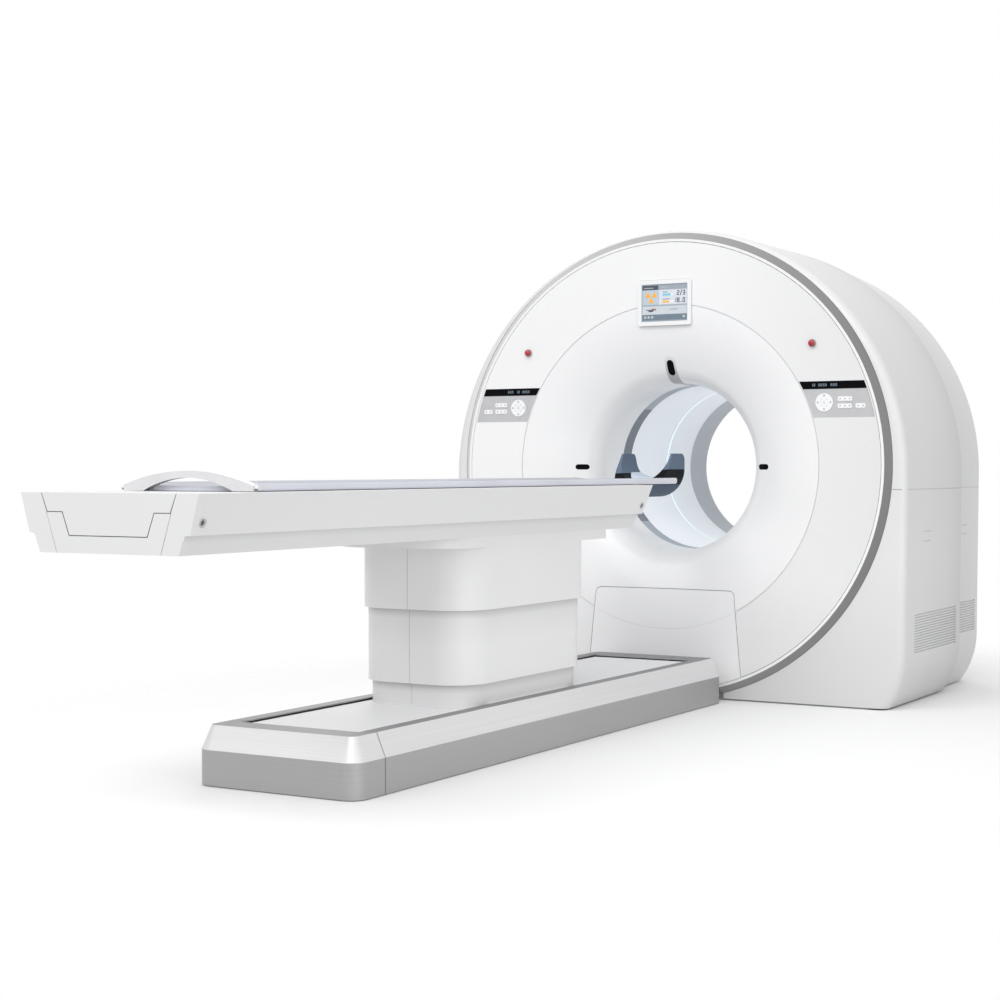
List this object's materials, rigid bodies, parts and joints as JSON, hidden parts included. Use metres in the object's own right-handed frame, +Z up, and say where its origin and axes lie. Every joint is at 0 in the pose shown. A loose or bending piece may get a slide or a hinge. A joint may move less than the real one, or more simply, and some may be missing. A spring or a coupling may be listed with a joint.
{
  "type": "whole-body scanner",
  "caption": "Hospital scanner with a round white gantry, a wide flared bore and a patient couch that rides on a floor plinth, lifts, and slides its pallet into the bore.",
  "frame": {"origin": "on the floor under the bore axis, in the plane where the gantry's front and rear halves meet", "axes": "+Z up, +Y along the bore from the couch to the gantry's back, +X to the right for someone facing the gantry's front"},
  "size_m": [2.04, 4.657, 1.932],
  "materials": {
    "white_shell": "satin white moulding",
    "face_white": "satin white moulding",
    "silver_trim": "fine silver paint",
    "plinth_metal": "brushed along its length",
    "pad_grey": "matt grey foil",
    "display_black": "black gloss",
    "key_white": "matt foil key",
    "screen_glass": "lit screen",
    "bracket_grey": "matt grey",
    "laser_black": "dark window",
    "window_grey": "matt film",
    "liner_blue": "satin",
    "light_line": "lit line",
    "works_steel": "grey machine paint",
    "works_alloy": "machined",
    "works_dark": "dark machine paint",
    "stop_red": "red gloss",
    "stop_collar": "matt black",
    "pallet_lavender": "satin",
    "holder_slate": "matt",
    "pad_lavender": "soft cover"
  },
  "bodies": {
    "gantry": {"gantry_base": "works_steel", "front_upper_cover_l": "white_shell", "front_upper_cover_r": "white_shell", "front_side_panel_l": "white_shell", "front_side_panel_r": "white_shell", "rear_upper_cover_l": "white_shell", "rear_upper_cover_r": "white_shell", "rear_side_panel_l": "white_shell", "rear_side_panel_r": "white_shell", "rear_cover": "white_shell", "trim_ring": "silver_trim", "front_rim": "face_white", "front_cover": "face_white", "funnel": "face_white", "service_cover": "face_white", "control_pads": "pad_grey", "display_strips": "display_black", "round_pads": "key_white", "panel_keys": "key_white", "monitor_bezel": "face_white", "monitor_screen": "screen_glass", "laser_bracket": "bracket_grey", "laser_windows": "laser_black", "scan_window": "window_grey", "tunnel_liner": "liner_blue", "light_ring": "light_line", "rear_ring": "bracket_grey", "ct_stator": "works_steel", "pet_frame": "works_steel", "pet_detectors": "works_dark", "stop_collars": "stop_collar", "plinth_chassis": "works_steel", "plinth_end_foot": "plinth_metal", "plinth_end_head": "plinth_metal", "plinth_side_trims": "plinth_metal", "floor_rails": "works_alloy", "track_plate": "white_shell"},
    "ct_rotor_body": {"ct_rotor": "works_alloy", "xray_tube": "works_steel", "ct_detector": "works_dark", "power_units": "works_dark"},
    "stop_l": {"stop_button_l": "stop_red"},
    "stop_r": {"stop_button_r": "stop_red"},
    "pedestal": {"carriage": "white_shell", "rail_shoes": "works_dark", "lower_cover": "white_shell", "lift_tube_outer": "works_steel"},
    "lift_stage": {"lift_tube_middle": "works_alloy"},
    "middle_cover_body": {"middle_cover": "white_shell"},
    "couch_top": {"lift_tube_inner": "works_alloy", "top_cover": "white_shell", "lift_flange": "white_shell", "couch_beam": "white_shell", "foot_cap": "white_shell", "foot_panel": "white_shell"},
    "pallet_body": {"pallet": "pallet_lavender", "pallet_runner": "works_alloy", "pallet_handle": "face_white", "head_holder": "holder_slate", "head_pad": "pad_lavender"}
  },
  "joints": [
    {"name": "pedestal_slide", "type": "slide", "parent": "gantry", "child": "pedestal", "axis": [0, 1, 0], "range_m": [-0.45, 0.8]},
    {"name": "couch_lift", "type": "slide", "parent": "pedestal", "child": "couch_top", "axis": [0, 0, 1], "range_m": [-0.28, 0]},
    {"name": "middle_cover_slide", "type": "slide", "parent": "pedestal", "child": "middle_cover_body", "axis": [0, 0, 1], "range_m": [-0.0644, 0]},
    {"name": "lift_stage_slide", "type": "slide", "parent": "pedestal", "child": "lift_stage", "axis": [0, 0, 1], "range_m": [-0.14, 0]},
    {"name": "pallet_slide", "type": "slide", "parent": "couch_top", "child": "pallet_body", "axis": [0, 1, 0], "range_m": [0, 1.3]},
    {"name": "ct_rotation", "type": "hinge", "parent": "gantry", "child": "ct_rotor_body", "pos_m": [0, -0.45, 0.955], "axis": [0, 1, 0], "continuous": true},
    {"name": "stop_l_press", "type": "slide", "parent": "gantry", "child": "stop_l", "axis": [0, 1, 0], "range_m": [0, 0.006], "stiffness_N_per_m": 800, "springref_m": -0.002},
    {"name": "stop_r_press", "type": "slide", "parent": "gantry", "child": "stop_r", "axis": [0, 1, 0], "range_m": [0, 0.006], "stiffness_N_per_m": 800, "springref_m": -0.002}
  ],
  "couplings": [
    {"joint": "middle_cover_slide", "follows": "couch_lift", "ratio": 0.23},
    {"joint": "lift_stage_slide", "follows": "couch_lift", "ratio": 0.5}
  ]
}
